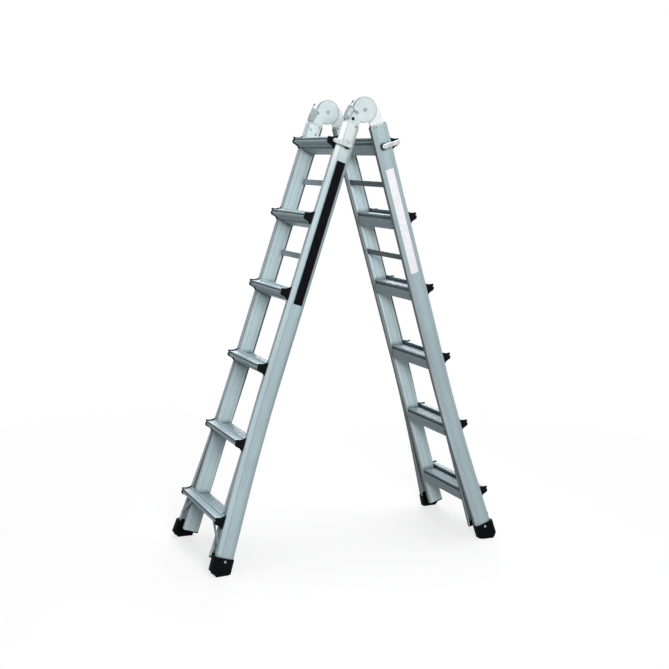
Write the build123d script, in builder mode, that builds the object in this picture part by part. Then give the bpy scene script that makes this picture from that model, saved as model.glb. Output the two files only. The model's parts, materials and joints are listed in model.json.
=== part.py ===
"""Telescoping multi-position ladder, standing as a stepladder.

Two alike halves hang from one hinge axis. Each half is an inner ladder of straight
channel rails, nested in an outer ladder whose rails flare towards rubber feet.

Row frame: Z up, X across the stance, Y along the rungs, the origin on the floor at the
middle of the stance. The front half leans towards -X and the rear half towards +X.
Each half is modelled in its own frame: its origin lies on the hinge axis, +X points out
of the stance at a right angle to the rails, and +Z points up along the rails.
"""
from build123d import *
from math import cos, radians, sin, tan
import os

# Overall sizes (mm, degrees)
HALF_ANGLE = 17.5            # lean of each half from the vertical
PITCH = 280.0                # step from one rung to the next, along the rail
RUNG_COUNT = 6
TOP_TREAD = 117.5            # hinge axis to the top tread, along the rail
LOWEST_TREAD_HEIGHT = 205.0  # floor to the lowest tread
LADDER_WIDTH = 347.0         # over the outer rails, where they run straight
HINGE_TO_RAIL = 3.0          # from the hinge axis out to the outer rails

# Outer rails: channels that open inwards
OUTER_DEPTH = 66.0
OUTER_REACH = 25.5           # web face to the flange edge
OUTER_WALL = 2.2
BEVEL_DEPTH = 12.5           # the bevelled corner, across the web
BEVEL_REACH = 7.5            # and along the flange
OUTER_TOP = 66.0             # top end, down from the hinge axis
FLARE_BELOW_TREAD = 42.5     # the bend starts this far below the third tread from the floor
FLARE_RADIUS = 3430.0
FLARE_ANGLE = 7.5
LINE_WIDTH = 1.4             # extruded lines along the webs
LINE_DEPTH = 0.5
LINE_INSET = 17.0

# Inner rails: channels that open outwards, nested in the outer ones
RAIL_GAP = 0.8
WEB_GAP = 7.0                # inner flange edge to the outer web, clear of its bevels
INNER_REACH = 18.8
INNER_WALL = 2.4
INNER_BEVEL = 5.0
INNER_TOP = 62.0
INNER_END_LIFT = 27.0        # floor to the inner corner of the rail's end cap
END_CAP = 5.0

# Rungs
CAP_THICKNESS = 5.0
CAP_SETBACK = 13.5           # outer rail web to the cap's face
TREAD_GROOVE = 1.4
TREAD_GROOVE_DEPTH = 0.7
TREAD_SLOT = 1.8             # groove along the back of an outer rung's tread

# Spacer bars between the inner rails
BAR_COUNT = 2
BAR_DROP = 163.5             # tread to the middle of the bar, along the rail
BAR_HEIGHT = 21.0
BAR_THICKNESS = 3.0

# Feet and rung braces
FOOT_TOP = 63.0              # up the rail from the sole, at the web's middle
FOOT_WALL = 3.0
FOOT_OUTER_WALL = 9.0         # the boot's wall over the outer flange
FOOT_INNER_WALL = 2.2
SOLE = 9.0
SOLE_CHAMFER_OUT = 24.0      # the sole's outward corner is cut away: along the floor
SOLE_CHAMFER_UP = 21.0       # and up the boot
FOOT_FILL = 24.0             # height of the solid rubber inside the rail's end
FOOT_GAP = 0.1
RIVET_RADIUS = 3.0
RIVET_HEAD = 5.0
RIVET_HEAD_HEIGHT = 1.6
BRACE_WIDTH = 12.0
BRACE_THICKNESS = 3.0
BRACE_DROP = 106.0           # lowest tread to the brace's foot, along the rail
BRACE_INSET = 66.0           # the brace's top, in from the rung's end

# Hinges
DISC_RADIUS = 45.5
REAR_DISC_RADIUS = 44.0
HINGE_INSET = 15.5           # outer rail web to the middle of the hinge's plates
FRONT_PLATE = 3.0
REAR_PLATE = 6.0
PLATE_GAP = 0.5
AXLE_RADIUS = 4.5
AXLE_HEAD = 6.5
AXLE_HEAD_HEIGHT = 2.0
SHAFT_GAP = 0.08
NECK_IN = 5.0
NECK_OUT = 61.5
TANG_IN = 9.5
TANG_INSET = 3.5
TANG_BOTTOM = 126.0
STOP_PLACE = (28.0, -20.5)    # ring-headed rivet on the outer disc: out, down
TAB_WIDTH = 4.0
TANG_GAP = 0.1
HINGE_CLOSED = 35.0          # turns of the rear half from the stance: folded flat
HINGE_STRAIGHT = -145.0      # and straight

# Release handles, each with a lock bar for the notches of the rear disc
PIVOT_DROP = 50.0
PIVOT_OUT = 55.0
PIVOT_RADIUS = 3.0
BAR_PLACE_DROP = 16.0        # lock bar off its notch
BAR_PLACE_OUT = 44.7
LOCK_BAR_RADIUS = 3.0
LATCH_TURN = 11.0            # turn of the handle that drops the bar into a notch
OPEN_TURN = 12.0
HANDLE_SHEET = 1.6
HANDLE_SIDE_GAP = 0.3
NOTCH_GAP = 0.6
SLOT_GAP = 1.0

# Rail locks: a spring pin through the outer rail, with a J-shaped lever
LOCK_DROP = 144.0
LOCK_OUT = 30.0
LOCK_PIN = 6.0
LOCK_TRAVEL = 7.5
LOCK_CLEAR = 0.5
LOCK_HOLE_GAP = 0.5
GUIDE_RADIUS = 12.0
GUIDE_HEIGHT = 5.0
GUIDE_GAP = 0.12
LEVER_WIDTH = 16.0
LEVER_THICKNESS = 5.0
LEVER_LIFT = 1.2             # the lever's middle above the pin's
LEVER_REACH = 92.0
LEVER_HOOK = 11.0

# Worked out from the sizes above
LEAN = radians(HALF_ANGLE)
FLARE = radians(FLARE_ANGLE)
HALF_WIDTH = LADDER_WIDTH / 2
RAIL_IN = HINGE_TO_RAIL
RAIL_OUT = HINGE_TO_RAIL + OUTER_DEPTH
LOWEST_TREAD = TOP_TREAD + PITCH * (RUNG_COUNT - 1)
HINGE_HEIGHT = LOWEST_TREAD_HEIGHT + LOWEST_TREAD * cos(LEAN) - RAIL_OUT * sin(LEAN)
FLARE_START = LOWEST_TREAD - 2 * PITCH + FLARE_BELOW_TREAD
INNER_IN = RAIL_IN + OUTER_WALL + RAIL_GAP
INNER_OUT = RAIL_OUT - OUTER_WALL - RAIL_GAP
INNER_EDGE = HALF_WIDTH - OUTER_WALL - WEB_GAP       # inner flange edges, from the middle
INNER_FACE = INNER_EDGE - INNER_REACH                # inner web's face, from the middle
HINGE_CENTRE = HALF_WIDTH - HINGE_INSET              # from the ladder's middle
INNER_BOTTOM = (HINGE_HEIGHT - INNER_END_LIFT + INNER_IN * sin(LEAN)) / cos(LEAN)
FRONT_INNER_FACE = HINGE_CENTRE - REAR_PLATE / 2 - PLATE_GAP - FRONT_PLATE
FRONT_OUTER_FACE = HINGE_CENTRE + REAR_PLATE / 2 + PLATE_GAP + FRONT_PLATE
RIVET_PLACES = [(18.0, -69.5), (51.0, -87.0), (25.0, -98.0)]


def lean_to_local(out, up):
    """A level offset and a rise, turned into the half's own x and z."""
    return (out * cos(LEAN) + up * sin(LEAN), -out * sin(LEAN) + up * cos(LEAN))


def tread_drop(index):
    return TOP_TREAD + PITCH * index


def flare_at(drop):
    """How far the outer rail has flared at a distance down from the hinge axis."""
    bend = FLARE_RADIUS * sin(FLARE)
    run = drop - FLARE_START
    if run <= 0:
        return 0.0
    if run <= bend:
        return FLARE_RADIUS - (FLARE_RADIUS ** 2 - run ** 2) ** 0.5
    return FLARE_RADIUS * (1 - cos(FLARE)) + (run - bend) * tan(FLARE)


def tread_plane(index, side_offset=0.0):
    """Sketch plane of a rung: x level and outwards, y up, from the flange at the tread."""
    return Plane(origin=(RAIL_OUT, -side_offset, -tread_drop(index)),
                 x_dir=(cos(LEAN), 0, -sin(LEAN)), z_dir=(0, -1, 0))


def side_plane(distance):
    """Sketch plane square to the rungs: x outwards, y up the rail, normal towards -y."""
    return Plane(origin=(0, distance, 0), x_dir=(1, 0, 0), z_dir=(0, -1, 0))


def grooved(start, end, count, width, depth):
    """Points along a line with square grooves cut to its right."""
    first, last = Vector(*start), Vector(*end)
    along = (last - first).normalized()
    into = Vector(along.Y, -along.X) * depth
    span = (last - first).length
    points = [start]
    for number in range(count):
        middle = first + along * (span * (number + 1) / (count + 1))
        left, right = middle - along * (width / 2), middle + along * (width / 2)
        points += [(p.X, p.Y) for p in (left, left + into, right + into, right)]
    return points + [end]


# ---------------------------------------------------------------- rails
def channel(face, inside, outside, reach, wall, bevel_depth, bevel_reach, opens, lines=True):
    """Outline of a bevelled channel: (across, from the middle) points, web at face."""
    shift = wall * 0.6
    tip = face + opens * reach
    points = [(inside, tip), (inside, face + opens * bevel_reach), (inside + bevel_depth, face)]
    for place in (inside + LINE_INSET, outside - LINE_INSET) if lines else ():
        points += [(place - LINE_WIDTH / 2, face), (place - LINE_WIDTH / 2, face + opens * LINE_DEPTH),
                   (place + LINE_WIDTH / 2, face + opens * LINE_DEPTH), (place + LINE_WIDTH / 2, face)]
    points += [(outside - bevel_depth, face), (outside, face + opens * bevel_reach), (outside, tip)]
    back = face + opens * wall
    points += [(outside - wall, tip), (outside - wall, face + opens * (bevel_reach + shift)),
               (outside - bevel_depth - shift, back), (inside + bevel_depth + shift, back),
               (inside + wall, face + opens * (bevel_reach + shift)), (inside + wall, tip)]
    return points + [points[0]]


def outer_section(grow=0.0):
    """The outer rail's outline, or a plain one grown all round for the boot's slot."""
    return channel(HALF_WIDTH + grow, RAIL_IN - grow, RAIL_OUT + grow, OUTER_REACH + 2 * grow,
                   OUTER_WALL + 2 * grow, BEVEL_DEPTH, BEVEL_REACH, -1, lines=grow == 0)


def flare_path(bottom):
    """Line, arc and line that the outer rail's web follows, drawn in the YZ plane."""
    bend_end = (HALF_WIDTH + FLARE_RADIUS * (1 - cos(FLARE)), -FLARE_START - FLARE_RADIUS * sin(FLARE))
    run = bottom + bend_end[1]
    Line((HALF_WIDTH, -OUTER_TOP), (HALF_WIDTH, -FLARE_START))
    TangentArc((HALF_WIDTH, -FLARE_START), bend_end, tangent=(0, -1))
    Line(bend_end, (bend_end[0] + run * tan(FLARE), -bottom))


def floor_cut(lift=0.0):
    """Plane of the floor, or a level plane above it, in a half's own frame."""
    x, z = lean_to_local(0, lift - HINGE_HEIGHT)
    return Plane(origin=(x, 0, z), x_dir=(cos(LEAN), 0, -sin(LEAN)),
                 z_dir=(sin(LEAN), 0, cos(LEAN)))


def make_outer_rail():
    with BuildPart() as rail:
        with BuildSketch(Plane.XY.offset(-OUTER_TOP)):
            with BuildLine():
                Polyline(*outer_section())
            make_face()
        with BuildLine(Plane.YZ):
            flare_path(INNER_BOTTOM + 60)
        sweep()
        split(bisect_by=floor_cut(SOLE), keep=Keep.TOP)
        with BuildSketch(side_plane(HALF_WIDTH + 1)):
            with Locations((LOCK_OUT, -LOCK_DROP)):
                Circle(LOCK_PIN + 2 * GUIDE_GAP)
            with Locations(RIVET_PLACES[0]):
                Circle(RIVET_HEAD + 1)
        extrude(amount=OUTER_WALL + 2, mode=Mode.SUBTRACT)
        with BuildSketch(foot_web_plane()):
            Circle(RIVET_RADIUS + FOOT_GAP)
        extrude(amount=-4 * OUTER_WALL, mode=Mode.SUBTRACT)
    return rail


def make_inner_rail():
    section = channel(INNER_FACE, INNER_IN, INNER_OUT, INNER_REACH, INNER_WALL,
                      INNER_BEVEL, INNER_BEVEL, 1)
    with BuildPart() as rail:
        with BuildSketch(Plane.XY.offset(-INNER_TOP)):
            with BuildLine():
                Polyline(*section)
            make_face()
        extrude(amount=-(INNER_BOTTOM - END_CAP - INNER_TOP))
        with BuildSketch(side_plane(INNER_FACE + 2 * INNER_WALL)):
            for index in range(RUNG_COUNT):
                with Locations((LOCK_OUT, -LOCK_DROP - PITCH * index)):
                    Circle(LOCK_PIN + LOCK_HOLE_GAP)
            with Locations(*RIVET_PLACES):
                Circle(RIVET_RADIUS + FOOT_GAP)
        extrude(amount=3 * INNER_WALL, mode=Mode.SUBTRACT)
    return rail


def make_inner_end_cap():
    """Flat black cap that closes the bottom of an inner rail."""
    with BuildPart() as cap:
        with BuildSketch(Plane.XY.offset(-INNER_BOTTOM)):
            with BuildLine():
                Polyline((INNER_IN, INNER_EDGE), (INNER_IN, INNER_FACE + INNER_BEVEL),
                         (INNER_IN + INNER_BEVEL, INNER_FACE), (INNER_OUT - INNER_BEVEL, INNER_FACE),
                         (INNER_OUT, INNER_FACE + INNER_BEVEL), (INNER_OUT, INNER_EDGE), close=True)
            make_face()
        extrude(amount=END_CAP)
        with BuildSketch(Plane.XY.offset(-INNER_BOTTOM + END_CAP)):
            with Locations(((INNER_IN + INNER_OUT) / 2, (INNER_FACE + INNER_WALL + INNER_EDGE) / 2)):
                Rectangle(INNER_OUT - INNER_IN - 2 * INNER_WALL - 2 * INNER_BEVEL,
                          INNER_REACH - INNER_WALL - 4 * FOOT_GAP)
        extrude(amount=2 * END_CAP)
    return cap


# ---------------------------------------------------------------- rungs
def rung_outline():
    """Outline of an outer rung: dished tread with a groove, ridged nose, sloping underside."""
    top_back = (1.35, -4.2)
    with BuildSketch() as outline:
        with BuildLine():
            top = ThreePointArc(top_back, (18, -9.6), (33.6, -8.0))
            Polyline(top @ 1, (34.9, -9.4), (34.9, -12.2), (32.0, -13.2), (32.0, -15.6), (36.9, -17.6),
                     (37.6, -19.4), (37.6, -23.8), (36.0, -26.4), (20.6, -35.2), (15.4, -43.8),
                     (43.8 * tan(LEAN), -43.8), top_back)
        make_face()
        with Locations((7.2, -6.6)):
            Rectangle(TREAD_SLOT, 2 * TREAD_SLOT, mode=Mode.SUBTRACT)
    return outline.sketch


def make_outer_rung(index):
    half_length = HALF_WIDTH - CAP_SETBACK - CAP_THICKNESS + flare_at(tread_drop(index) + 10)
    outline = rung_outline()
    with BuildPart() as rung:
        with BuildSketch(tread_plane(index)):
            add(outline)
            with BuildLine():
                Polyline((6.6, -11.0), (18, -12.4), (31.0, -10.8), (29.6, -12.6), (29.6, -16.6),
                         (35.2, -19.8), (35.2, -23.2), (34.0, -25.2), (19.2, -33.6), (15.6, -39.4),
                         close=True)
            make_face(mode=Mode.SUBTRACT)
        extrude(amount=half_length, both=True)
    return rung


def make_rung_cap(index):
    """Black end cap of one rung: a lipped plate with a plug in the hollow rung."""
    end = HALF_WIDTH - CAP_SETBACK - CAP_THICKNESS + flare_at(tread_drop(index) + 10)
    with BuildPart() as cap:
        with BuildSketch(tread_plane(index, end)):
            with BuildLine():
                top = ThreePointArc((0, 0), (18, -5.6), (36.6, -4.0))
                Polyline(top @ 1, (38.6, -6.2), (38.6, -12.2), (35.8, -13.4), (35.8, -14.4),
                         (40.4, -16.0), (41.2, -18.4), (41.2, -25.0), (39.0, -28.6), (23.4, -37.8),
                         (17.6, -47.3), (47.3 * tan(LEAN), -47.3), (0, 0))
            make_face()
        extrude(amount=CAP_THICKNESS)
        with BuildSketch(tread_plane(index, end)):
            with BuildLine():
                Polyline((18, -13.8), (28, -13.2), (28.4, -17.4), (33.0, -20.6), (20.0, -31.6),
                         close=True)
            make_face()
        extrude(amount=-2 * CAP_THICKNESS)
        chamfer(cap.faces().sort_by(Axis.Y)[0].edges(), 0.8)
    return cap


def make_inner_rung(index):
    """Broad hollow rung, its grooved top below the outer rung's and a slot under its lip."""
    tread = grooved((-53.0, -18.5), (-0.5, -18.5), 8, TREAD_GROOVE, TREAD_GROOVE_DEPTH)
    with BuildPart() as rung:
        with BuildSketch(tread_plane(index)):
            with BuildLine():
                Polyline(*tread, (1.2, -20.5), (9.2, -46.5), (7.5, -49.0), (-36.0, -69.0),
                         (-43.0, -69.0), (-50.0, -51.5), (-48.6, -50.0), (-52.0, -33.0),
                         (-46.5, -32.0), (-46.5, -25.0), (-53.0, -24.0), close=True)
            make_face()
            with BuildLine():
                Polyline((-43.5, -22.5), (-3.2, -22.5), (5.2, -46.2), (-35.2, -65.4),
                         (-40.8, -65.4), (-46.0, -51.8), (-45.0, -49.2), (-48.2, -36.0),
                         (-43.5, -35.0), close=True)
            make_face(mode=Mode.SUBTRACT)
        extrude(amount=INNER_FACE, both=True)
    return rung


def make_spacer_bar(index):
    middle = tread_drop(index) + BAR_DROP
    with BuildPart() as bar:
        with Locations((INNER_IN + INNER_BEVEL + BAR_THICKNESS, 0, -middle)):
            Box(BAR_THICKNESS, 2 * INNER_FACE, BAR_HEIGHT)
        fillet(bar.edges().filter_by(Axis.Y), 0.8)
    return bar


# ---------------------------------------------------------------- feet and braces
def foot_middle():
    """Where the web's centre line meets the floor: (across, from the middle, up)."""
    across = (RAIL_IN + RAIL_OUT) / 2
    drop = (HINGE_HEIGHT + across * sin(LEAN)) / cos(LEAN)
    return across, HALF_WIDTH + flare_at(drop), -drop


def foot_plane(up_the_rail):
    """Plane square to the flared rail, this far up from the floor."""
    across, out, z = foot_middle()
    return Plane(origin=(across, out - up_the_rail * sin(FLARE), z + up_the_rail * cos(FLARE)),
                 x_dir=(1, 0, 0), z_dir=(0, -sin(FLARE), cos(FLARE)))


def foot_web_plane():
    """Plane on the flared web's outside, at the foot's rivet, looking outwards."""
    across, out, z = foot_middle()
    up = FOOT_TOP - 12.0
    return Plane(origin=(across, out - up * sin(FLARE) + (FOOT_WALL + RIVET_HEAD_HEIGHT) * cos(FLARE),
                         z + up * cos(FLARE) + (FOOT_WALL + RIVET_HEAD_HEIGHT) * sin(FLARE)),
                 x_dir=(1, 0, 0), z_dir=(0, cos(FLARE), sin(FLARE)))


def foot_outline():
    """Bevelled block round the rail's end, in a foot plane: x across, y outwards."""
    reach = OUTER_REACH + FOOT_WALL
    inside = OUTER_DEPTH / 2 + FOOT_INNER_WALL
    outside = OUTER_DEPTH / 2 + FOOT_OUTER_WALL
    return [(-inside, -reach), (-inside, FOOT_WALL - BEVEL_REACH), (-inside + BEVEL_DEPTH, FOOT_WALL),
            (outside - BEVEL_DEPTH, FOOT_WALL), (outside, FOOT_WALL - BEVEL_REACH), (outside, -reach)]


def sole_cut():
    """Plane that takes off the sole's outward corner."""
    outside = RAIL_OUT + FOOT_OUTER_WALL
    corner = Vector(outside, 0, -(HINGE_HEIGHT + outside * sin(LEAN)) / cos(LEAN))
    along = Vector(SOLE_CHAMFER_OUT * cos(LEAN), 0, SOLE_CHAMFER_UP - SOLE_CHAMFER_OUT * sin(LEAN))
    return Plane(origin=corner + Vector(0, 0, SOLE_CHAMFER_UP), x_dir=(0, 1, 0),
                 z_dir=along.cross(Vector(0, 1, 0)))


def make_foot_slot():
    """The space that the rail's end takes in the boot."""
    section = [(x - (RAIL_IN + RAIL_OUT) / 2, y - HALF_WIDTH) for x, y in outer_section(FOOT_GAP)]
    with BuildPart() as slot:
        with BuildSketch(foot_plane(FOOT_TOP + 1)):
            with BuildLine():
                Polyline(*section)
            make_face()
        extrude(amount=-2 * FOOT_TOP)
        split(bisect_by=floor_cut(SOLE - FOOT_GAP), keep=Keep.TOP)
    return slot


def make_foot():
    """Rubber boot over the rail's end, with a level sole."""
    half = OUTER_DEPTH / 2 - OUTER_WALL - FOOT_WALL
    with BuildPart() as foot:
        with BuildSketch(foot_plane(FOOT_TOP)):
            with BuildLine():
                Polyline(*foot_outline(), close=True)
            make_face()
        extrude(amount=-2 * FOOT_TOP)
        with BuildSketch(foot_plane(FOOT_TOP)):
            with Locations((0, -OUTER_REACH)):
                Rectangle(2 * half, 2 * (OUTER_REACH - OUTER_WALL - FOOT_WALL))
        extrude(amount=-(FOOT_TOP - FOOT_FILL), mode=Mode.SUBTRACT)
        add(make_foot_slot().part, mode=Mode.SUBTRACT)
        split(bisect_by=floor_cut(), keep=Keep.TOP)
        split(bisect_by=sole_cut(), keep=Keep.TOP)
        with BuildSketch(foot_web_plane()):
            Circle(RIVET_RADIUS + FOOT_GAP)
        extrude(amount=-4 * FOOT_WALL, mode=Mode.SUBTRACT)
    return foot


def make_foot_rivet():
    with BuildPart() as rivet:
        with BuildSketch(foot_web_plane().offset(-RIVET_HEAD_HEIGHT)):
            Circle(RIVET_HEAD)
        extrude(amount=RIVET_HEAD_HEIGHT, taper=30)
        with BuildSketch(foot_web_plane().offset(-RIVET_HEAD_HEIGHT)):
            Circle(RIVET_RADIUS)
        extrude(amount=-(FOOT_WALL + OUTER_WALL + FOOT_GAP))
    return rivet


def make_brace():
    """Flat strut from the lowest rung's underside to the outer rail's flange."""
    last = RUNG_COUNT - 1
    under_a, under_b = lean_to_local(36.0, -26.4), lean_to_local(20.6, -35.2)
    top = Vector(RAIL_OUT + under_a[0] * 0.1 + under_b[0] * 0.9,
                 HALF_WIDTH - CAP_SETBACK - CAP_THICKNESS + flare_at(tread_drop(last)) - BRACE_INSET,
                 -tread_drop(last) + under_a[1] * 0.1 + under_b[1] * 0.9)
    foot_drop = LOWEST_TREAD + BRACE_DROP
    foot = Vector(RAIL_OUT, HALF_WIDTH - OUTER_REACH + flare_at(foot_drop) + 4.5, -foot_drop)
    way = (foot - top).normalized()
    across = Vector(0, 1, 0).cross(way).normalized()
    start = top - way * 15
    slope = Vector(under_a[0] - under_b[0], 0, under_a[1] - under_b[1])
    underside = Plane(origin=top, x_dir=(0, 1, 0), z_dir=slope.cross(Vector(0, 1, 0)))
    with BuildPart() as brace:
        with BuildSketch(Plane(origin=start, x_dir=across, z_dir=way)):
            Rectangle(BRACE_THICKNESS, BRACE_WIDTH)
        extrude(amount=(foot - start).length + 20)
        split(bisect_by=underside, keep=Keep.BOTTOM)
        split(bisect_by=Plane(origin=(RAIL_OUT, 0, 0), z_dir=(1, 0, 0)), keep=Keep.TOP)
    return brace


# ---------------------------------------------------------------- hinges
def make_tang():
    """Solid core of a bracket's tang, which fills the inner rail between its flanges."""
    with BuildPart() as tang:
        with BuildSketch(side_plane(FRONT_OUTER_FACE)):
            with Locations(((TANG_IN + NECK_OUT) / 2, -(INNER_TOP + TANG_BOTTOM) / 2)):
                Rectangle(NECK_OUT - TANG_IN - 2 * TANG_INSET, TANG_BOTTOM - INNER_TOP - 4)
        extrude(amount=FRONT_OUTER_FACE - INNER_FACE - INNER_WALL - TANG_GAP)
    return tang


def make_rivet_holes():
    """Solids that cut the rivet holes of a tang."""
    with BuildPart() as holes:
        with BuildSketch(side_plane(FRONT_OUTER_FACE + 1)):
            with Locations(*RIVET_PLACES):
                Circle(RIVET_RADIUS + TANG_GAP)
        extrude(amount=INNER_REACH)
    return holes


def turned(point, centre, degrees):
    """A point of a side plane, turned counter-clockwise about a centre."""
    angle = radians(degrees)
    x, y = point[0] - centre[0], point[1] - centre[1]
    return (centre[0] + x * cos(angle) - y * sin(angle), centre[1] + x * sin(angle) + y * cos(angle))


def bar_place(turn):
    """Lock bar's centre in the front half's side plane, at a turn of the handle."""
    return turned((BAR_PLACE_OUT, -BAR_PLACE_DROP), (PIVOT_OUT, -PIVOT_DROP), turn)


def notch_place(hinge_turn, handle_turn):
    """Where the lock bar stands at these turns, in the rear half's side plane."""
    out, up = bar_place(handle_turn)
    across, height = out * cos(LEAN) - up * sin(LEAN), out * sin(LEAN) + up * cos(LEAN)
    x, z = turned((-across, height), (0, 0), hinge_turn)
    return (x * cos(LEAN) + z * sin(LEAN), -x * sin(LEAN) + z * cos(LEAN))


def make_front_bracket():
    """Two discs with necks, joined by the tang that is riveted into the inner rail."""
    tang = make_tang()
    holes = make_rivet_holes()
    with BuildPart() as bracket:
        for face in (FRONT_OUTER_FACE, FRONT_INNER_FACE + FRONT_PLATE):
            with BuildSketch(side_plane(face)):
                with BuildLine():
                    Polyline((NECK_IN, 0), (NECK_IN, -INNER_TOP + 1), (TANG_IN, -INNER_TOP + 1),
                             (TANG_IN, -TANG_BOTTOM), (NECK_OUT, -TANG_BOTTOM), (NECK_OUT, -46.0),
                             (58.0, -38.0), (45.3, -4.0), close=True)
                make_face()
                Circle(DISC_RADIUS)
                Circle(AXLE_RADIUS + SHAFT_GAP, mode=Mode.SUBTRACT)
                with Locations((PIVOT_OUT, -PIVOT_DROP)):
                    Circle(PIVOT_RADIUS + SHAFT_GAP, mode=Mode.SUBTRACT)
                for step in range(9):
                    with Locations(bar_place(LATCH_TURN - step * (LATCH_TURN + OPEN_TURN) / 8)):
                        Circle(LOCK_BAR_RADIUS + SLOT_GAP, mode=Mode.SUBTRACT)
            extrude(amount=FRONT_PLATE)
        add(tang.part)
        add(holes.part, mode=Mode.SUBTRACT)
        with BuildSketch(side_plane(FRONT_OUTER_FACE + 1)):
            with Locations((35.0, -46.0)):
                RectangleRounded(8.5, 9.5, 2.5)
            with Locations(STOP_PLACE):
                Circle(RIVET_RADIUS + TANG_GAP)
        extrude(amount=FRONT_PLATE + 1.2, mode=Mode.SUBTRACT)
    return bracket


def make_rear_bracket():
    """One thick disc between the front bracket's two, with a notch for each position."""
    tang = make_tang()
    holes = make_rivet_holes()
    with BuildPart() as bracket:
        with BuildSketch(side_plane(HINGE_CENTRE + REAR_PLATE / 2)):
            with BuildLine():
                Polyline((NECK_IN, 0), (NECK_IN, -INNER_TOP + 1), (TANG_IN, -INNER_TOP + 1),
                         (TANG_IN, -TANG_BOTTOM), (NECK_OUT, -TANG_BOTTOM), (NECK_OUT, -INNER_TOP + 1),
                         (59.5, -56.0), (56.0, -9.0), (42.3, 12.0), close=True)
            make_face()
            Circle(REAR_DISC_RADIUS)
            Circle(AXLE_RADIUS + SHAFT_GAP, mode=Mode.SUBTRACT)
            for hinge_turn in (0.0, HINGE_CLOSED, HINGE_STRAIGHT):
                for step in range(5):
                    with Locations(notch_place(hinge_turn, LATCH_TURN * step / 4)):
                        Circle(LOCK_BAR_RADIUS + NOTCH_GAP, mode=Mode.SUBTRACT)
        extrude(amount=REAR_PLATE)
        add(tang.part)
        add(holes.part, mode=Mode.SUBTRACT)
    return bracket


def pin_through(place, radius, start, end, head_radius, head_height):
    """Pin along y from start out to end, with a domed head on each end."""
    with BuildPart() as pin:
        with BuildSketch(side_plane(end)):
            with Locations(place):
                Circle(radius)
        extrude(amount=end - start)
        for face, way in ((end, -1), (start, 1)):
            with BuildSketch(side_plane(face)):
                with Locations(place):
                    Circle(head_radius)
            extrude(amount=way * head_height, taper=25)
    return pin


def make_axle():
    return pin_through((0, 0), AXLE_RADIUS, FRONT_INNER_FACE - TANG_GAP, FRONT_OUTER_FACE + TANG_GAP,
                       AXLE_HEAD, AXLE_HEAD_HEIGHT)


def make_tang_rivets():
    return [pin_through(place, RIVET_RADIUS, INNER_FACE - FOOT_GAP / 2, FRONT_OUTER_FACE + FOOT_GAP / 2,
                        RIVET_HEAD, RIVET_HEAD_HEIGHT) for place in RIVET_PLACES]


def make_pivot_pin():
    reach = HANDLE_SIDE_GAP + HANDLE_SHEET + HANDLE_SIDE_GAP
    return pin_through((PIVOT_OUT, -PIVOT_DROP), PIVOT_RADIUS, FRONT_INNER_FACE - reach,
                       FRONT_OUTER_FACE + reach, PIVOT_RADIUS + 1.5, 1.2)


def make_stop_rivet():
    """Ring-headed stop rivet on the front bracket's outer disc."""
    with BuildPart() as rivet:
        with BuildSketch(side_plane(FRONT_OUTER_FACE + 2.5)):
            with Locations(STOP_PLACE):
                Circle(6.0)
                Circle(3.4, mode=Mode.SUBTRACT)
        extrude(amount=2.4)
        with BuildSketch(side_plane(FRONT_OUTER_FACE + 1.2)):
            with Locations(STOP_PLACE):
                Circle(5.0)
        extrude(amount=1.1)
        with BuildSketch(side_plane(FRONT_OUTER_FACE + 0.5)):
            with Locations(STOP_PLACE):
                Circle(RIVET_RADIUS)
        extrude(amount=FRONT_PLATE)
    return rivet


def make_handle():
    """Sheet-metal release handle: two cheeks, a back, a finger tab and the lock bar."""
    outer = FRONT_OUTER_FACE + HANDLE_SIDE_GAP + HANDLE_SHEET
    inner = FRONT_INNER_FACE - HANDLE_SIDE_GAP - HANDLE_SHEET
    with BuildPart() as handle:
        for face in (outer, inner + HANDLE_SHEET):
            with BuildSketch(side_plane(face)):
                with BuildLine():
                    Polyline((61.6, -5.0), (66.4, -30.0), (67.4, -56.0), (50.5, -56.0), (47.5, -50.0),
                             (41.2, -24.0), (41.2, -12.0), (46.0, -8.0), close=True)
                make_face()
                with Locations((PIVOT_OUT, -PIVOT_DROP)):
                    Circle(PIVOT_RADIUS + SHAFT_GAP, mode=Mode.SUBTRACT)
            extrude(amount=HANDLE_SHEET)
        with BuildSketch(side_plane(outer)):
            with BuildLine():
                Polyline((61.6, -5.0), (66.4, -30.0), (67.4, -56.0), (67.4 - HANDLE_SHEET, -56.0),
                         (66.4 - HANDLE_SHEET, -30.3), (61.6 - HANDLE_SHEET, -5.0), close=True)
            make_face()
        extrude(amount=outer - inner)
        with BuildSketch(side_plane(outer - HANDLE_SHEET + TAB_WIDTH)):
            with BuildLine():
                Polyline((61.6, -5.0), (57.0, 13.0), (57.0 - HANDLE_SHEET, 13.0),
                         (61.6 - HANDLE_SHEET, -5.0), (62.2, -14.0), (62.9, -12.0), close=True)
            make_face()
        extrude(amount=TAB_WIDTH)
        with BuildSketch(side_plane(outer)):
            with Locations((BAR_PLACE_OUT, -BAR_PLACE_DROP)):
                Circle(LOCK_BAR_RADIUS)
        extrude(amount=outer - inner)
    return handle


# ---------------------------------------------------------------- rail locks
def make_lock_guide():
    """Round housing on the outer rail's web that carries a lock pin and its spring."""
    with BuildPart() as guide:
        with BuildSketch(side_plane(HALF_WIDTH + GUIDE_HEIGHT)):
            with Locations((LOCK_OUT, -LOCK_DROP)):
                Circle(GUIDE_RADIUS)
        extrude(amount=GUIDE_HEIGHT)
        chamfer(guide.faces().sort_by(Axis.Y)[-1].edges(), 1.2)
        with BuildSketch(side_plane(HALF_WIDTH + GUIDE_HEIGHT + 1)):
            with Locations((LOCK_OUT, -LOCK_DROP)):
                Circle(LOCK_PIN + GUIDE_GAP)
        extrude(amount=GUIDE_HEIGHT + 2, mode=Mode.SUBTRACT)
    return guide


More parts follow.
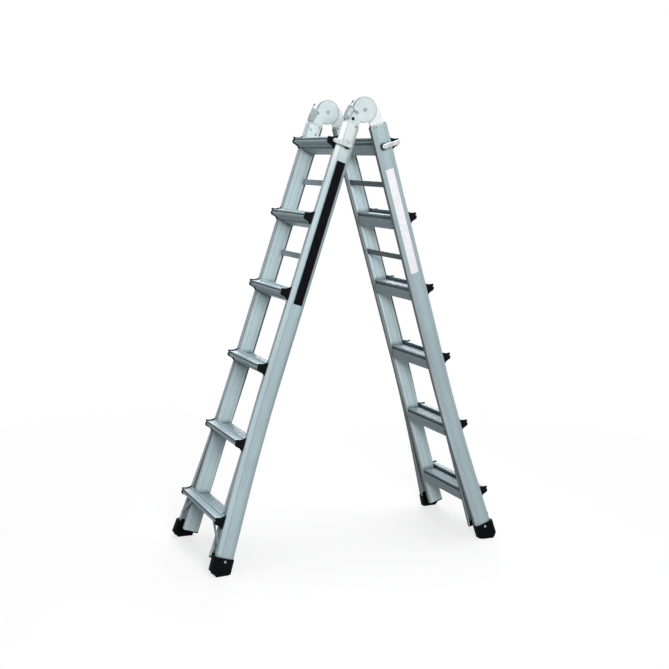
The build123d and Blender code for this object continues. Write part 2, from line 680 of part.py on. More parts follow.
def make_lock():
    """Lock pin with its J-shaped lever, drawn out of the inner rail."""
    tip = INNER_FACE + INNER_WALL + LOCK_CLEAR
    arm = HALF_WIDTH + GUIDE_HEIGHT + LOCK_TRAVEL + LOCK_CLEAR
    start = LOCK_OUT - LEVER_WIDTH / 2 - 3
    with BuildPart() as lock:
        with BuildSketch(side_plane(arm + LEVER_THICKNESS)):
            with Locations(((start + LEVER_REACH) / 2, -LOCK_DROP + LEVER_LIFT)):
                SlotOverall(LEVER_REACH - start, LEVER_WIDTH)
        extrude(amount=LEVER_THICKNESS)
        chamfer(lock.faces().sort_by(Axis.Y)[-1].edges(), 1.4)
        with BuildSketch(side_plane(arm + 1)):
            with Locations((LEVER_REACH - 4.6, -LOCK_DROP + LEVER_LIFT)):
                RectangleRounded(5.0, LEVER_WIDTH - 5, 2.0)
        extrude(amount=LEVER_HOOK + 1)
        with BuildSketch(side_plane(arm + 1)):
            with Locations((LOCK_OUT, -LOCK_DROP)):
                Circle(LOCK_PIN)
        extrude(amount=arm + 1 - tip)
        chamfer(lock.faces().sort_by(Axis.Y)[0].edges(), 1.0)
    return lock


# ---------------------------------------------------------------- assembly
FRONT = Plane(origin=(0, 0, HINGE_HEIGHT), x_dir=(-cos(LEAN), 0, sin(LEAN)),
              z_dir=(sin(LEAN), 0, cos(LEAN)))
REAR = Plane(origin=(0, 0, HINGE_HEIGHT), x_dir=(cos(LEAN), 0, sin(LEAN)),
             z_dir=(-sin(LEAN), 0, cos(LEAN)))


def save(name, half, shapes):
    """Place the shapes of one node in their half and write its file."""
    with BuildPart() as node:
        for shape in shapes:
            add(shape.moved(half.location))
    node.part.label = name
    export_step(node.part, f"parts/{name}.step")


def both(shape):
    """A piece of the +y side and its mirror image on the -y side."""
    return [shape, mirror(shape, about=Plane.XZ)]


def save_pair(name, half, shape, sides):
    for side, piece in zip(sides, both(shape)):
        save(f"{name}_{side}", half, [piece])


os.makedirs("parts", exist_ok=True)
outer_rail = make_outer_rail().part
inner_rail = make_inner_rail().part
foot = make_foot().part
lock = make_lock().part

for half_name, half, sides in (("front", FRONT, ("right", "left")), ("rear", REAR, ("left", "right"))):
    save_pair(f"{half_name}_inner_rail", half, inner_rail, sides)
    save_pair(f"{half_name}_outer_rail", half, outer_rail, sides)
    save_pair(f"{half_name}_rail_lock", half, lock, sides)
    save(f"{half_name}_feet", half, both(foot))
    save(f"{half_name}_inner_end_caps", half, both(make_inner_end_cap().part))
    save(f"{half_name}_lock_guides", half, both(make_lock_guide().part))
    save(f"{half_name}_foot_rivets", half, both(make_foot_rivet().part))
    save(f"{half_name}_braces", half, both(make_brace().part))
    save(f"{half_name}_spacer_bars", half, [make_spacer_bar(index).part for index in range(BAR_COUNT)])
    caps = [cap for index in range(RUNG_COUNT) for cap in both(make_rung_cap(index).part)]
    save(f"{half_name}_rung_caps", half, caps)
    for index in range(RUNG_COUNT):
        save(f"{half_name}_inner_rung_{index + 1}", half, [make_inner_rung(index).part])
        save(f"{half_name}_outer_rung_{index + 1}", half, [make_outer_rung(index).part])

rivets = [rivet for pin in make_tang_rivets() for rivet in both(pin.part)]
save("rear_bracket_rivets", REAR, rivets)
fixed_pins = both(make_pivot_pin().part) + both(make_stop_rivet().part)
save("front_bracket_rivets", FRONT, rivets + fixed_pins)
save("hinge_axles", FRONT, both(make_axle().part))
save_pair("front_hinge_bracket", FRONT, make_front_bracket().part, ("right", "left"))
save_pair("rear_hinge_bracket", REAR, make_rear_bracket().part, ("left", "right"))
save_pair("release_handle", FRONT, make_handle().part, ("right", "left"))

print("hinge height", round(HINGE_HEIGHT, 3), "lean", HALF_ANGLE)
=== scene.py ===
"""Looks for the telescoping multi-position ladder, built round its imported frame."""
import json
from math import cos, pi, radians, sin

import bmesh
import bpy
from mathutils import Matrix, Vector


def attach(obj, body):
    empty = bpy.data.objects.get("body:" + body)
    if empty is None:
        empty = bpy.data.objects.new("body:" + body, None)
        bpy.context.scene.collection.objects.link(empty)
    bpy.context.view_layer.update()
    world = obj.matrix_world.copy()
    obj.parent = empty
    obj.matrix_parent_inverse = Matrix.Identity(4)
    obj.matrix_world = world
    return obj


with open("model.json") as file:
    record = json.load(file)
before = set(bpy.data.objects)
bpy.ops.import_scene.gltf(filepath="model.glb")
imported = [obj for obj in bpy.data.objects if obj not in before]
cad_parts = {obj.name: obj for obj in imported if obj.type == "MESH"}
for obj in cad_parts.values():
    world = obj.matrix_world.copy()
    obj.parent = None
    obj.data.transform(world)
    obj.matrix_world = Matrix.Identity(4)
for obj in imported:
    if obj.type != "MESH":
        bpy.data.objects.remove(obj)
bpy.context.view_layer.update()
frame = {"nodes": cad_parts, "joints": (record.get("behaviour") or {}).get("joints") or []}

# Sizes shared with the frame (metres, radians)
LEAN = radians(17.5)
HALF_WIDTH = 0.1735          # the outer rails' webs, from the ladder's middle
HINGE_HEIGHT = frame["joints"][0]["pos_m"][2]

INNER_IN = 0.006             # inner rails: inward and outward edges
INNER_OUT = 0.066
INNER_FACE = 0.1455          # the inner rails' webs, from the ladder's middle
RAIL_TOP = 0.0625            # down the rail from the hinge axis
COVER_BOTTOM = 0.117
COVER_MARGIN = 0.0055        # a cover plate's edges, in from the inner rail's
DISC_RADIUS = 0.0455
BRACKET_FACE = 0.1645        # the front bracket's outer face, from the ladder's middle
PLUG_PLACE = (0.035, -0.046)
PLUG_SIZE = (0.0112, 0.0106)
TAB_FOOT = (0.0608, -0.005)  # middle of the release handle's tab: its foot and its tip
TAB_TIP = (0.0562, 0.013)
TAB_MIDDLE = 0.16711         # and across, from the ladder's middle
TIP_SIZE = (0.0034, 0.00496)
CHEEK_FACE = 0.1664          # the release handle's outer cheek, from the ladder's middle
PANEL_MIDDLE = (0.0548, -0.027)
PANEL_SIZE = (0.0125, 0.029)
PANEL_TILT = radians(-6)
FRONT_FILM = (0.0158, 0.050, 0.205, 0.734)   # inward, outward, upper and lower edges
REAR_FILM = (0.0165, 0.049, 0.228, 0.625)

# Camera
CAMERA_PLACE = (-1.7798, -3.7505, HINGE_HEIGHT - 0.1852)
CAMERA_YAW = 0.438
CAMERA_PITCH = -0.155
CAMERA_ROLL = 0.023
CAMERA_LENS = 59.49

# Light: a lamp's name, place, aim, size and power in watts
WORLD_STRENGTH = 0.10
LAMPS = (("key", (-1.2, -4.4, 2.3), (0, 0, 0.85), (1.6, 1.2), 165),
         ("back", (1.6, 3.8, 2.4), (0, 0, 0.9), (2.0, 2.0), 70),
         ("top", (0.3, 0.3, 4.1), (0, 0, 0.8), (2.2, 2.2), 140),
         ("high", (-0.5, -1.9, 2.5), (0, 0, 1.5), (1.4, 1.4), 8))

# Sockets of a colour Mix node, which share their names with its other data types
MIX_FIRST, MIX_SECOND, MIX_RESULT = 6, 7, 2

scene = bpy.context.scene
scene.view_settings.view_transform = "Standard"


# ---------------------------------------------------------------- places
def half_matrix(half):
    """From a half's own frame (x out, y across, z up the rail) to the row frame."""
    way = -1 if half == "front" else 1
    x = Vector((way * cos(LEAN), 0, sin(LEAN)))
    z = Vector((-way * sin(LEAN), 0, cos(LEAN)))
    y = z.cross(x)
    matrix = Matrix((x, y, z)).transposed().to_4x4()
    matrix.translation = (0, 0, HINGE_HEIGHT)
    return matrix


def add_piece(name, half, body, shape, material):
    """Finish a bmesh drawn in a half's own frame as a piece that rides on a body."""
    bmesh.ops.recalc_face_normals(shape, faces=shape.faces)
    mesh = bpy.data.meshes.new(name)
    shape.to_mesh(mesh)
    shape.free()
    mesh.transform(half_matrix(half))
    mesh.materials.append(material)
    piece = bpy.data.objects.new(name, mesh)
    scene.collection.objects.link(piece)
    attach(piece, body)


# ---------------------------------------------------------------- materials
class Graph:
    """Short calls for building one material's nodes."""

    def __init__(self, name):
        self.material = bpy.data.materials.new(name)
        self.material.use_nodes = True
        self.tree = self.material.node_tree
        self.shader = self.tree.nodes["Principled BSDF"]

    def node(self, kind, **settings):
        made = self.tree.nodes.new(kind)
        for key, value in settings.items():
            setattr(made, key, value)
        return made

    def join(self, start, end):
        self.tree.links.new(start, end)

    def feed(self, socket, value):
        if isinstance(value, bpy.types.NodeSocket):
            self.join(value, socket)
        else:
            socket.default_value = value

    def place(self, turn=(0, 0, 0), scale=(1, 1, 1)):
        """Position on the piece, in metres, turned and then stretched."""
        where = self.node("ShaderNodeTexCoord").outputs["Object"]
        if any(turn):
            spin = self.node("ShaderNodeMapping")
            spin.inputs["Rotation"].default_value = turn
            self.join(where, spin.inputs["Vector"])
            where = spin.outputs["Vector"]
        stretch = self.node("ShaderNodeMapping")
        stretch.inputs["Scale"].default_value = scale
        self.join(where, stretch.inputs["Vector"])
        return stretch.outputs["Vector"]

    def noise(self, vector, scale=1.0, detail=3.0, roughness=0.5):
        made = self.node("ShaderNodeTexNoise")
        self.join(vector, made.inputs["Vector"])
        made.inputs["Scale"].default_value = scale
        made.inputs["Detail"].default_value = detail
        made.inputs["Roughness"].default_value = roughness
        return made.outputs["Fac"]

    def remap(self, value, low, high, new_low, new_high):
        made = self.node("ShaderNodeMapRange")
        self.join(value, made.inputs["Value"])
        for key, number in (("From Min", low), ("From Max", high),
                            ("To Min", new_low), ("To Max", new_high)):
            made.inputs[key].default_value = number
        return made.outputs["Result"]

    def math(self, operation, first, second):
        made = self.node("ShaderNodeMath", operation=operation)
        self.feed(made.inputs[0], first)
        self.feed(made.inputs[1], second)
        return made.outputs["Value"]

    def blend(self, factor, first, second):
        made = self.node("ShaderNodeMix", data_type="RGBA")
        self.feed(made.inputs["Factor"], factor)
        self.feed(made.inputs[MIX_FIRST], first)
        self.feed(made.inputs[MIX_SECOND], second)
        return made.outputs[MIX_RESULT]

    def bump(self, height, strength, distance):
        made = self.node("ShaderNodeBump")
        made.inputs["Strength"].default_value = strength
        made.inputs["Distance"].default_value = distance
        self.join(height, made.inputs["Height"])
        self.join(made.outputs["Normal"], self.shader.inputs["Normal"])

    def edge_wear_and_shade(self, radius, low=0.02, high=0.2):
        """One on sharp outside edges, fading to nought on open faces."""
        bevel = self.node("ShaderNodeBevel", samples=4)
        bevel.inputs["Radius"].default_value = radius
        plain = self.node("ShaderNodeNewGeometry").outputs["Normal"]
        turn = self.node("ShaderNodeVectorMath", operation="DOT_PRODUCT")
        self.join(bevel.outputs["Normal"], turn.inputs[0])
        self.join(plain, turn.inputs[1])
        off = self.math("SUBTRACT", 1.0, turn.outputs["Value"])
        return self.remap(off, low, high, 0.0, 1.0)


def tint(colour, factor):
    """A colour made darker or lighter, with an alpha of one."""
    return tuple(min(1.0, c * factor) for c in colour) + (1,)


def occlusion_shade(g, distance, low=0.25, high=0.95):
    """Painted shade: nought in tight corners and slots, one on open faces."""
    shade = g.node("ShaderNodeAmbientOcclusion", samples=8)
    shade.inputs["Distance"].default_value = distance
    return g.remap(shade.outputs["AO"], low, high, 0.0, 1.0)


def edge_shaded(g, shade, colour, radius):
    """Painted shade: darken a shade along the sharp edges of plated sheet."""
    return g.blend(g.edge_wear_and_shade(radius), shade, tint(colour, 0.36))


def painted_underside_shade(g, darkest):
    """Painted shade: one on faces that stand or look up, down to a least value on those that look
    down.
    """
    height = g.node("ShaderNodeSeparateXYZ")
    g.join(g.node("ShaderNodeTexCoord").outputs["Normal"], height.inputs["Vector"])
    return g.remap(height.outputs["Z"], -0.28, -0.12, darkest, 1.0)


def aluminium(name, colour, metallic, roughness, turn, along, specular=0.35, painted_highlight_above=None,
              darkest=1.0):
    """Mill-finish extrusion: drawn lines along one axis, faint clouding and scuffs, with painted
    shade in recesses and on faces that look down, and, where asked, a painted highlight towards
    the top.
    """
    g = Graph(name)
    fine = [900.0, 900.0, 900.0]
    broad = [160.0, 160.0, 160.0]
    fine[along] = 5.0
    broad[along] = 1.2
    drawn = g.noise(g.place(turn, fine), 1.0, 2.0)
    bands = g.noise(g.place(turn, broad), 1.0, 3.0)
    cloud = g.noise(g.place(), 9.0, 4.0)
    dark = tint(colour, 0.9)
    light = tint(colour, 1.07)
    tone = g.math("ADD", g.math("MULTIPLY", bands, 0.5), g.math("MULTIPLY", cloud, 0.5))
    base_tone = g.blend(g.remap(tone, 0.32, 0.68, 0.0, 1.0), dark, light)
    shade_colour = tint(colour, 0.16)
    # painted highlight: the rail's colour turns paler towards the top
    if painted_highlight_above:
        height = g.node("ShaderNodeSeparateXYZ")
        g.join(g.place(), height.inputs["Vector"])
        high = g.remap(height.outputs["Z"], painted_highlight_above - 0.14, painted_highlight_above, 0.0, 1.0)
        base_tone = g.blend(high, base_tone, HIGHLIGHT_COLOUR + (1,))
    # painted shade: darker in recesses and on faces that look down
    unshaded_share = g.math("MULTIPLY", occlusion_shade(g, 0.018, 0.3, 1.0), painted_underside_shade(g, darkest))
    g.join(g.blend(unshaded_share, shade_colour, base_tone), g.shader.inputs["Base Color"])
    g.shader.inputs["Metallic"].default_value = metallic
    g.shader.inputs["Specular IOR Level"].default_value = specular
    rough = g.math("ADD", g.remap(drawn, 0.3, 0.7, roughness - 0.05, roughness + 0.05),
                   g.remap(cloud, 0.35, 0.65, -0.03, 0.05))
    g.join(rough, g.shader.inputs["Roughness"])
    g.bump(drawn, 0.25, 0.00008)
    return g.material


def turned_plate(name, colour, roughness, centre, half):
    """Bright plated sheet with faint circular polishing marks round the hinge axis, and painted
    shade in its corners, in a line round the disc's edge and along sharp edges.
    """
    g = Graph(name)
    where = g.node("ShaderNodeTexCoord").outputs["Object"]
    offset = g.node("ShaderNodeVectorMath", operation="SUBTRACT")
    g.join(where, offset.inputs[0])
    offset.inputs[1].default_value = centre
    flat = g.node("ShaderNodeVectorMath", operation="MULTIPLY")
    g.join(offset.outputs["Vector"], flat.inputs[0])
    flat.inputs[1].default_value = (1, 0, 1)
    reach = g.node("ShaderNodeVectorMath", operation="LENGTH")
    g.join(flat.outputs["Vector"], reach.inputs[0])
    rings = g.node("ShaderNodeCombineXYZ")
    g.join(g.math("MULTIPLY", reach.outputs["Value"], 900.0), rings.inputs["X"])
    marks = g.noise(rings.outputs["Vector"], 1.0, 3.0)
    cloud = g.noise(g.place(), 30.0, 4.0)
    tone = g.math("ADD", g.math("MULTIPLY", marks, 0.5), g.math("MULTIPLY", cloud, 0.5))
    dark = tint(colour, 0.88)
    light = tint(colour, 1.06)
    base_tone = g.blend(g.remap(tone, 0.35, 0.65, 0.0, 1.0), dark, light)
    shade_colour = tint(colour, 0.3)
    out, up = (g.node("ShaderNodeVectorMath", operation="DOT_PRODUCT") for _ in range(2))
    axes = half_matrix(half).transposed()
    for part, axis in ((out, axes[0]), (up, axes[2])):
        g.join(offset.outputs["Vector"], part.inputs[0])
        part.inputs[1].default_value = axis[:3]
    neck = g.math("MULTIPLY", g.math("GREATER_THAN", out.outputs["Value"], 0.003),
                  g.math("LESS_THAN", up.outputs["Value"], 0.0))
    # painted shade: a dark line just inside the disc's edge, left off the neck
    edge_shade_line = g.remap(reach.outputs["Value"], DISC_RADIUS - 0.0028, DISC_RADIUS - 0.0018, 0.0, 0.62)
    edge_shade_line = g.math("MULTIPLY", edge_shade_line, g.math("SUBTRACT", 1.0, neck))
    # painted shade in the corners and in the line round the disc's edge
    shade = g.blend(edge_shade_line, g.blend(occlusion_shade(g, 0.007), shade_colour, base_tone), shade_colour)
    g.join(edge_shaded(g, shade, colour, 0.0024), g.shader.inputs["Base Color"])
    g.shader.inputs["Metallic"].default_value = 0.1
    g.shader.inputs["Specular IOR Level"].default_value = 0.35
    rough = g.remap(tone, 0.3, 0.7, roughness - 0.06, roughness + 0.08)
    g.join(rough, g.shader.inputs["Roughness"])
    g.bump(marks, 0.2, 0.00006)
    return g.material


def plastic(name, colour, roughness, grain, edge_light):
    """Moulded plastic or rubber: fine grain, rubbed paler on its edges, a little dust."""
    g = Graph(name)
    speckle = g.noise(g.place(), grain, 2.0)
    cloud = g.noise(g.place(), 24.0, 4.0)
    base = tuple(colour) + (1,)
    dusty = tuple(c * 1.6 + 0.001 for c in colour) + (1,)
    rubbed = tuple(c + edge_light for c in colour) + (1,)
    shade = g.blend(g.remap(cloud, 0.42, 0.72, 0.0, 0.8), base, dusty)
    edges = g.math("MULTIPLY", g.edge_wear_and_shade(0.0012), g.remap(cloud, 0.3, 0.6, 0.2, 1.0))
    g.join(g.blend(edges, shade, rubbed), g.shader.inputs["Base Color"])
    rough = g.remap(cloud, 0.3, 0.7, roughness - 0.06, roughness + 0.08)
    g.join(rough, g.shader.inputs["Roughness"])
    g.shader.inputs["Specular IOR Level"].default_value = 0.03
    g.bump(speckle, 0.35, 0.00025)
    return g.material


def steel(name, colour, roughness, metallic):
    """Plated steel: small scratches, with painted shade in the corners and along sharp edges."""
    g = Graph(name)
    scratch = g.noise(g.place(), 700.0, 3.0)
    cloud = g.noise(g.place(), 60.0, 3.0)
    dark = tint(colour, 0.8)
    light = tint(colour, 1.1)
    base_tone = g.blend(g.remap(cloud, 0.35, 0.65, 0.0, 1.0), dark, light)
    shade_colour = tint(colour, 0.25)
    # painted shade in the corners and along sharp edges
    shade = edge_shaded(g, g.blend(occlusion_shade(g, 0.005), shade_colour, base_tone), colour, 0.0007)
    g.join(shade, g.shader.inputs["Base Color"])
    g.shader.inputs["Metallic"].default_value = metallic
    rough = g.remap(scratch, 0.3, 0.7, roughness - 0.08, roughness + 0.08)
    g.join(rough, g.shader.inputs["Roughness"])
    g.bump(scratch, 0.2, 0.0001)
    return g.material


def film(name, colour, roughness, line_step=None):
    """Printed film: faint mottling and, where asked, evenly ruled lines."""
    g = Graph(name)
    cloud = g.noise(g.place(), 40.0, 4.0)
    speckle = g.noise(g.place(), 900.0, 2.0)
    base = tuple(colour) + (1,)
    faded = tuple(c * 0.9 + 0.004 for c in colour) + (1,)
    shade = g.blend(g.remap(cloud, 0.35, 0.7, 0.0, 1.0), base, faded)
    if line_step:
        height = g.node("ShaderNodeSeparateXYZ")
        g.join(g.place(), height.inputs["Vector"])
        row = g.math("PINGPONG", height.outputs["Z"], line_step / 2)
        ruled = g.remap(row, 0.0, 0.0012, 0.3, 0.0)
        shade = g.blend(ruled, shade, tint(colour, 0.6))
    g.join(shade, g.shader.inputs["Base Color"])
    rough = g.remap(cloud, 0.3, 0.7, roughness - 0.05, roughness + 0.08)
    g.join(rough, g.shader.inputs["Roughness"])
    g.shader.inputs["Specular IOR Level"].default_value = 0.03
    g.bump(speckle, 0.15, 0.00004)
    return g.material


HIGHLIGHT_FROM = 1.54             # the front outer rails get a painted highlight above this height
LOOKING_DOWN = 0.12          # painted shade: how much of the metal's colour is kept on rail faces that look down
RAIL_COLOUR = (0.385, 0.49, 0.52)
# painted light: the rear inner rails are a paler copy of the front inner rails' metal
INNER_COLOUR = {"front": (0.50, 0.62, 0.65), "rear": (0.60, 0.73, 0.76)}
HIGHLIGHT_COLOUR = (0.64, 0.69, 0.69)
# painted shade: the rear spacer bars are a much darker copy of the front bars' metal
BAR_COLOUR = {"front": (0.40, 0.48, 0.51), "rear": (0.075, 0.105, 0.12)}
RUNG_COLOUR = (0.365, 0.475, 0.515)
turns = {"front": (0, -LEAN, 0), "rear": (0, LEAN, 0)}
rail_metal = {h: aluminium(f"rail_{h}", RAIL_COLOUR, 0.14, 0.48, turns[h], 2,
                           painted_highlight_above=HIGHLIGHT_FROM if h == "front" else None,
                           darkest=LOOKING_DOWN) for h in turns}
inner_metal = {h: aluminium(f"inner_{h}", INNER_COLOUR[h], 0.14, 0.5, turns[h], 2,
                            darkest=LOOKING_DOWN) for h in turns}
# painted shade: the rear rungs are a darker copy of the front rungs' metal
rung_metal = {"front": aluminium("rung", RUNG_COLOUR, 0.04, 0.44, (0, 0, 0), 1, specular=0.2),
              "rear": aluminium("rung_rear_shaded", tuple(c * 0.84 for c in RUNG_COLOUR), 0.04, 0.44,
                                (0, 0, 0), 1, specular=0.2)}
bar_metal = {h: aluminium(f"bar_{h}", BAR_COLOUR[h], 0.04, 0.44, (0, 0, 0), 1, specular=0.2)
             for h in turns}
HINGE = (0, 0, HINGE_HEIGHT)
plate_metal = {"front": turned_plate("hinge_plate", (0.60, 0.67, 0.69), 0.52, HINGE, "front"),
               "rear": turned_plate("hinge_core", (0.78, 0.82, 0.83), 0.52, HINGE, "rear")}
rivet_metal = steel("rivet", (0.36, 0.41, 0.43), 0.32, 0.6)
handle_metal = steel("handle", (0.33, 0.40, 0.43), 0.38, 0.3)
panel_metal = steel("handle_panel", (0.60, 0.67, 0.69), 0.4, 0.2)
lever_metal = steel("lever", (0.58, 0.63, 0.64), 0.34, 0.25)
cap_plastic = plastic("cap", (0.0045, 0.0055, 0.006), 0.5, 1200.0, 0.02)
foot_rubber = plastic("foot", (0.0035, 0.004, 0.0045), 0.62, 700.0, 0.015)
dark_film = film("dark_film", (0.004, 0.004, 0.006), 0.4)
pale_film = film("pale_film", (0.93, 0.94, 0.97), 0.5, 0.024)

for name, node in frame["nodes"].items():
    half = "front" if name.startswith("front") else "rear"
    if "outer_rail" in name:
        material = rail_metal[half]
    elif "inner_rail" in name:
        material = inner_metal[half]
    elif "rung_caps" in name or "end_caps" in name or "guides" in name:
        material = cap_plastic
    elif "rivets" in name or "axles" in name:
        material = rivet_metal
    elif "bracket" in name:
        material = plate_metal[half]
    elif "handle" in name:
        material = handle_metal
    elif "rail_lock" in name:
        material = lever_metal
    elif "feet" in name:
        material = foot_rubber
    elif "spacer" in name:
        material = bar_metal[half]
    else:
        material = rung_metal[half]
    node.data.materials.clear()
    node.data.materials.append(material)


# ---------------------------------------------------------------- added pieces
def rounded_rectangle(size, radius, steps=4):
    """Corners and arcs of a rectangle about the origin, counter-clockwise."""
    points = []
    for corner, (side, end) in enumerate(((1, 1), (-1, 1), (-1, -1), (1, -1))):
        middle = (side * (size[0] / 2 - radius), end * (size[1] / 2 - radius))
        for step in range(steps + 1):
            angle = (corner + step / steps) * pi / 2
            points.append((middle[0] + radius * cos(angle), middle[1] + radius * sin(angle)))
    return points


def skin(shape, rings):
    """Side faces between rings of vertices, and a face over each end."""
    made = [[shape.verts.new(point) for point in ring] for ring in rings]
    for lower, upper in zip(made, made[1:]):
        for i in range(len(lower)):
            j = (i + 1) % len(lower)
            shape.faces.new((lower[i], lower[j], upper[j], upper[i]))
    shape.faces.new(reversed(made[0]))
    shape.faces.new(made[-1])


def flat_plate(middle, size, radius, side, face, layers):
    """Rounded plate on a face square to the rungs, drawn in from it layer by layer.

    Each layer is how far it stands off the face and how much smaller it is all round.
    """
    shape = bmesh.new()
    rings = []
    for rise, shrink in layers:
        small = (size[0] - 2 * shrink, size[1] - 2 * shrink)
        rings.append([(middle[0] + x, side * (face + rise), middle[1] + z)
                      for x, z in rounded_rectangle(small, max(radius - shrink, 0.0002))])
    skin(shape, rings)
    return shape


def make_strip(name, half, body, side, span, material):
    """Thin plain film on an outer rail's web; span is (in, out, upper end, lower end)."""
    near, far, top, bottom = span
    shape = flat_plate(((near + far) / 2, -(top + bottom) / 2), (far - near, bottom - top), 0.0012,
                       side, HALF_WIDTH, ((0.00002, 0.0), (0.0002, 0.0), (0.00028, 0.0004)))
    add_piece(name, half, body, shape, material)


def make_bracket_plug(name, side):
    """Black square plug, with a domed and dished head, in the front bracket's outer disc."""
    shape = flat_plate(PLUG_PLACE, PLUG_SIZE, 0.0026, side, BRACKET_FACE,
                       ((-0.0026, 0.0022), (0.00005, 0.0022), (0.00005, 0.0), (0.0007, 0.0),
                        (0.0012, 0.0006), (0.0013, 0.0018), (0.0009, 0.0030)))
    add_piece(name, "front", "front_inner", shape, cap_plastic)


def make_cover_plate(name, half, side):
    """Thin plate riveted over the inner rail's web, between the hinge and the top rung."""
    span = (INNER_IN + COVER_MARGIN, INNER_OUT - COVER_MARGIN, RAIL_TOP, COVER_BOTTOM)
    middle = ((span[0] + span[1]) / 2, -(span[2] + span[3]) / 2)
    shape = flat_plate(middle, (span[1] - span[0], span[3] - span[2]), 0.003, -side, -INNER_FACE,
                       ((0.00005, 0.0), (0.0005, 0.0), (0.0008, 0.0003)))
    add_piece(name, half, f"{half}_inner", shape, plate_metal[half])


def handle_body(side):
    return "handle_right" if side > 0 else "handle_left"


def make_handle_tip(name, side):
    """Ribbed black cap pushed over the finger tab of a release handle."""
    foot, tip = Vector(TAB_FOOT), Vector(TAB_TIP)
    along = (tip - foot).normalized()
    square = Vector((along.y, -along.x))
    length = (tip - foot).length
    rings = []
    for place, grow in ((-0.0085, -0.0010), (-0.0082, 0.0), (-0.0065, 0.0), (-0.0061, -0.0004),
                        (-0.0055, 0.0), (-0.0040, 0.0), (-0.0036, -0.0004), (-0.0030, 0.0),
                        (-0.0010, 0.0), (0.0006, -0.0002), (0.0013, -0.0008), (0.0015, -0.0015)):
        middle = foot + along * (length + place)
        size = (TIP_SIZE[0] + 2 * grow, TIP_SIZE[1] + 2 * grow)
        outline = rounded_rectangle(size, 0.0012 + grow / 2)
        rings.append([(middle.x + square.x * x, side * (TAB_MIDDLE + y), middle.y + square.y * x)
                      for x, y in outline])
    shape = bmesh.new()
    skin(shape, rings)
    for face in shape.faces:
        face.smooth = True
    add_piece(name, "front", handle_body(side), shape, cap_plastic)


def make_handle_panel(name, side):
    """Pressed panel that stiffens a release handle's outer cheek, with a sunk middle."""
    shape = flat_plate(PANEL_MIDDLE, PANEL_SIZE, 0.003, side, CHEEK_FACE,
                       ((0.00003, 0.0), (0.0006, 0.0003), (0.0009, 0.0009), (0.0009, 0.0017),
                        (0.0005, 0.0024)))
    tilt = Matrix.Rotation(PANEL_TILT, 4, "Y")
    middle = Vector((PANEL_MIDDLE[0], 0, PANEL_MIDDLE[1]))
    shape.transform(Matrix.Translation(middle) @ tilt @ Matrix.Translation(-middle))
    add_piece(name, "front", handle_body(side), shape, panel_metal)


# ---------------------------------------------------------------- camera, floor and light
def make_camera():
    """Camera at the photograph's viewing angle."""
    yaw, pitch, roll = CAMERA_YAW, CAMERA_PITCH, CAMERA_ROLL
    forward = Vector((sin(yaw) * cos(pitch), cos(yaw) * cos(pitch), sin(pitch)))
    level = Vector((cos(yaw), -sin(yaw), 0))
    upright = level.cross(forward)
    right = level * cos(roll) + upright * sin(roll)
    up = upright * cos(roll) - level * sin(roll)
    matrix = Matrix((right, up, -forward)).transposed().to_4x4()
    matrix.translation = CAMERA_PLACE
    data = bpy.data.cameras.new("camera")
    data.lens = CAMERA_LENS
    data.sensor_width = 36.0
    data.clip_end = 60.0
    camera = bpy.data.objects.new("camera", data)
    scene.collection.objects.link(camera)
    camera.matrix_world = matrix
    scene.camera = camera


def make_floor():
    """Pale floor that keeps the object's shadow and fades to white away from it."""
    mesh = bpy.data.meshes.new("floor")
    shape = bmesh.new()
    bmesh.ops.create_circle(shape, cap_ends=True, segments=96, radius=24.0)
    shape.to_mesh(mesh)
    shape.free()
    floor = bpy.data.objects.new("floor", mesh)
    floor.location.z = -0.0004
    scene.collection.objects.link(floor)
    g = Graph("floor")
    g.shader.inputs["Roughness"].default_value = 0.9
    g.shader.inputs["Specular IOR Level"].default_value = 0.1
    glow = g.node("ShaderNodeEmission")
    glow.inputs["Strength"].default_value = 1.0
    rays = g.node("ShaderNodeLightPath")
    through = g.math("MAXIMUM", rays.outputs["Is Glossy Ray"], rays.outputs["Is Transmission Ray"])
    seen = g.math("MAXIMUM", rays.outputs["Is Camera Ray"], through)
    g.join(g.blend(seen, (0.13, 0.13, 0.13, 1), (0.8, 0.8, 0.8, 1)), g.shader.inputs["Base Color"])
    where = g.node("ShaderNodeVectorMath", operation="LENGTH")
    g.join(g.node("ShaderNodeTexCoord").outputs["Object"], where.inputs[0])
    far = g.remap(where.outputs["Value"], 0.9, 2.6, 0.7, 1.0)
    mixed = g.node("ShaderNodeMixShader")
    g.join(g.math("MULTIPLY", seen, far), mixed.inputs["Fac"])
    g.join(g.shader.outputs["BSDF"], mixed.inputs[1])
    g.join(glow.outputs["Emission"], mixed.inputs[2])
    g.join(mixed.outputs["Shader"], g.tree.nodes["Material Output"].inputs["Surface"])
    mesh.materials.append(g.material)


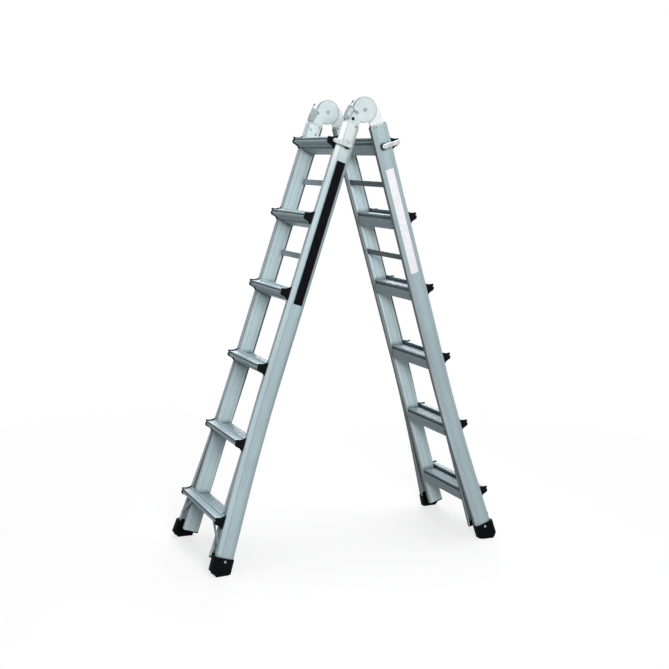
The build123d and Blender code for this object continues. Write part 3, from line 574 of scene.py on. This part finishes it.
def make_world(strength):
    """White where it is seen or mirrored, and a soft dim light on the object."""
    world = bpy.data.worlds.new("studio")
    scene.world = world
    world.use_nodes = True
    tree = world.node_tree
    tree.nodes.clear()
    rays = tree.nodes.new("ShaderNodeLightPath")
    either = tree.nodes.new("ShaderNodeMath")
    either.operation = "MAXIMUM"
    tree.links.new(rays.outputs["Is Camera Ray"], either.inputs[0])
    tree.links.new(rays.outputs["Is Glossy Ray"], either.inputs[1])
    seen = tree.nodes.new("ShaderNodeMath")
    seen.operation = "MAXIMUM"
    tree.links.new(either.outputs["Value"], seen.inputs[0])
    tree.links.new(rays.outputs["Is Transmission Ray"], seen.inputs[1])
    soft = tree.nodes.new("ShaderNodeBackground")
    soft.inputs["Strength"].default_value = strength
    white = tree.nodes.new("ShaderNodeBackground")
    white.inputs["Color"].default_value = (1, 1, 1, 1)
    white.inputs["Strength"].default_value = 1.0
    soft.inputs["Color"].default_value = (0.96, 0.98, 1.0, 1)
    mixed = tree.nodes.new("ShaderNodeMixShader")
    tree.links.new(seen.outputs["Value"], mixed.inputs["Fac"])
    tree.links.new(soft.outputs["Background"], mixed.inputs[1])
    tree.links.new(white.outputs["Background"], mixed.inputs[2])
    output = tree.nodes.new("ShaderNodeOutputWorld")
    tree.links.new(mixed.outputs["Shader"], output.inputs["Surface"])


def make_lamp(name, place, aim, size, power):
    data = bpy.data.lights.new(name, "AREA")
    data.shape = "RECTANGLE"
    data.size, data.size_y = size
    data.energy = power
    lamp = bpy.data.objects.new(name, data)
    scene.collection.objects.link(lamp)
    lamp.location = place
    lamp.rotation_mode = "QUATERNION"
    lamp.rotation_quaternion = (Vector(aim) - Vector(place)).to_track_quat("-Z", "Y")


make_strip("front_side_strip", "front", "front_outer", 1, FRONT_FILM, dark_film)
make_strip("rear_side_strip", "rear", "rear_outer", -1, REAR_FILM, pale_film)
for side_name, way in (("right", 1), ("left", -1)):
    make_bracket_plug(f"bracket_plug_{side_name}", way)
    make_handle_tip(f"handle_tip_{side_name}", way)
    make_handle_panel(f"handle_panel_{side_name}", way)
    make_cover_plate(f"front_cover_plate_{side_name}", "front", way)
    make_cover_plate(f"rear_cover_plate_{side_name}", "rear", -way)

make_camera()
make_floor()
make_world(WORLD_STRENGTH)
for lamp in LAMPS:
    make_lamp(*lamp)
